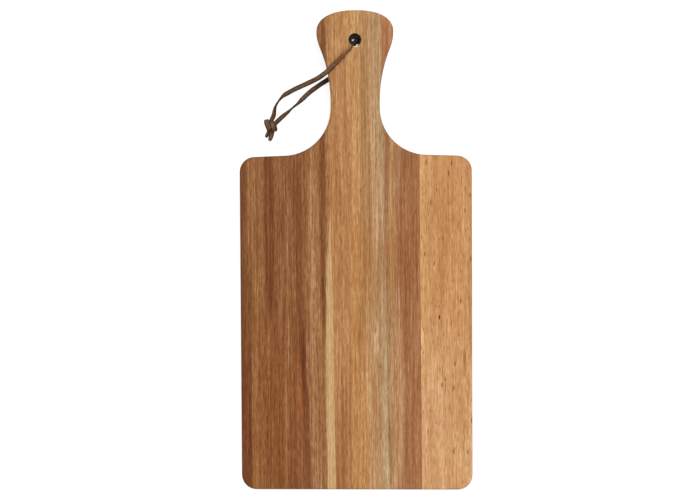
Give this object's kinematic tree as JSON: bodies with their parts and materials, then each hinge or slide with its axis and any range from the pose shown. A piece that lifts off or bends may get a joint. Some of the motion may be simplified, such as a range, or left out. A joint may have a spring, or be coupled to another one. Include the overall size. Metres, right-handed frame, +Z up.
{
  "type": "paddle charcuterie board",
  "caption": "Flat edge-glued hardwood serving board with rounded corners, hollow shoulders and a waisted paddle handle, with a knotted leather lace through the hanging hole.",
  "frame": {"origin": "centre of the board's footprint, on the table it lies on", "axes": "+X across the board to the right of the person who holds the handle away from them, +Y from the foot to the handle, +Z up out of the serving face"},
  "size_m": [0.1934, 0.4001, 0.0207],
  "materials": {
    "dark_wood": "oiled, satin",
    "honey_wood": "oiled, satin",
    "streaked_wood": "oiled, satin",
    "pale_wood": "oiled, satin",
    "lace_leather": "worn, matte"
  },
  "bodies": {
    "board": {"left_stave": "dark_wood", "handle_ear": "dark_wood", "centre_stave": "honey_wood", "streaked_stave": "streaked_wood", "right_stave": "pale_wood"},
    "hanging_loop": {"lace_loop": "lace_leather", "lace_knot": "lace_leather", "lace_tails": "lace_leather"}
  },
  "joints": [
    {"name": "loop_swing", "type": "hinge", "parent": "board", "child": "hanging_loop", "pos_m": [0, 0.17495, 0.00952], "axis": [0, -0.0054, 1], "range_deg": [-270, 0]}
  ]
}
